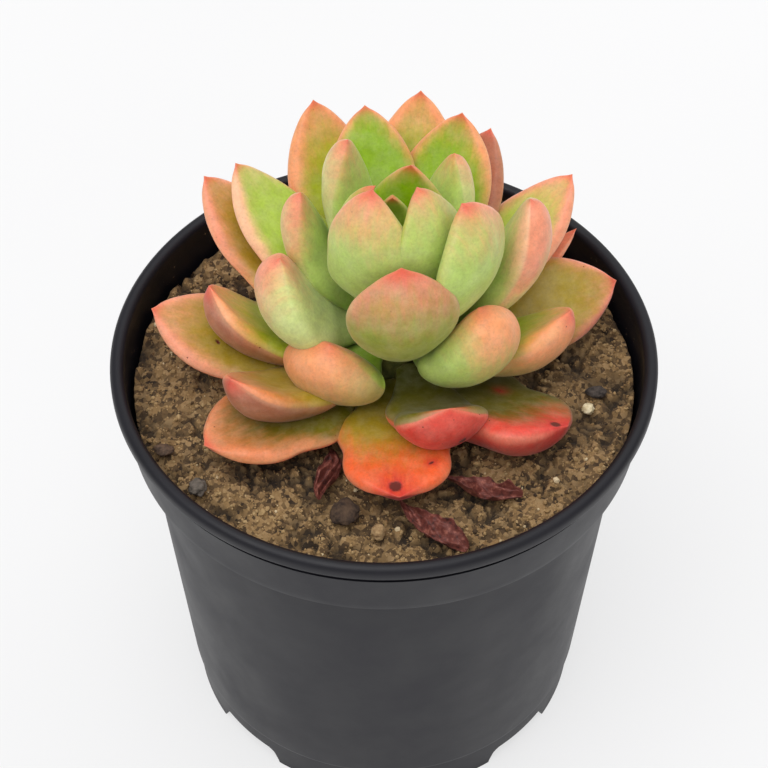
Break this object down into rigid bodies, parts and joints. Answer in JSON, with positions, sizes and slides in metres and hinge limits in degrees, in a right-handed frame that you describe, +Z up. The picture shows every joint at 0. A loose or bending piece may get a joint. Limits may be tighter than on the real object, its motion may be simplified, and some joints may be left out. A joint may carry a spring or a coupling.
{
  "type": "potted succulent",
  "caption": "Rosette succulent with thick pointed leaves, green at the heart and blushed orange-red at the tips, in gritty soil in a round black nursery pot.",
  "frame": {"origin": "centre of the pot's foot circle, on the ground plane", "axes": "+Z up along the pot's axis, -Y the side with the lowest front leaf and the dried leaves, +X to the right seen from the front"},
  "size_m": [0.105, 0.105, 0.14],
  "materials": {
    "black_plastic": "satin black moulded plastic",
    "gritty_soil": "loose tan grit",
    "stem": "green-brown bark",
    "leaf_outer": "waxy, orange-red over olive green",
    "leaf_inner": "waxy pale green with pink tips",
    "dried_leaf": "dry maroon-brown",
    "stones": "dull",
    "bark": "dull"
  },
  "bodies": {
    "root": {"pot": "black_plastic", "soil": "gritty_soil", "stem": "stem", "leaf_01": "leaf_outer", "leaf_02": "leaf_outer", "leaf_03": "leaf_outer", "leaf_04": "leaf_outer", "leaf_05": "leaf_outer", "leaf_06": "leaf_outer", "leaf_07": "leaf_outer", "leaf_08": "leaf_outer", "leaf_09": "leaf_outer", "leaf_10": "leaf_outer", "leaf_11": "leaf_outer", "leaf_12": "leaf_outer", "leaf_13": "leaf_outer", "leaf_14": "leaf_outer", "leaf_15": "leaf_outer", "leaf_16": "leaf_outer", "leaf_17": "leaf_outer", "leaf_18": "leaf_outer", "leaf_19": "leaf_outer", "leaf_20": "leaf_inner", "leaf_21": "leaf_inner", "leaf_22": "leaf_inner", "leaf_23": "leaf_inner", "leaf_24": "leaf_inner", "leaf_25": "leaf_inner", "leaf_26": "leaf_inner", "leaf_27": "leaf_inner", "leaf_28": "leaf_inner", "leaf_29": "leaf_inner", "leaf_30": "leaf_inner", "leaf_31": "leaf_inner", "leaf_32": "leaf_inner", "dried_leaf_1": "dried_leaf", "dried_leaf_2": "dried_leaf", "dried_leaf_3": "dried_leaf", "pebble_cream": "stones", "pebble_grey": "stones", "pebble_brown": "stones", "crumb_dark": "stones", "crumb_tan": "stones", "bark_chip": "bark"}
  },
  "joints": []
}
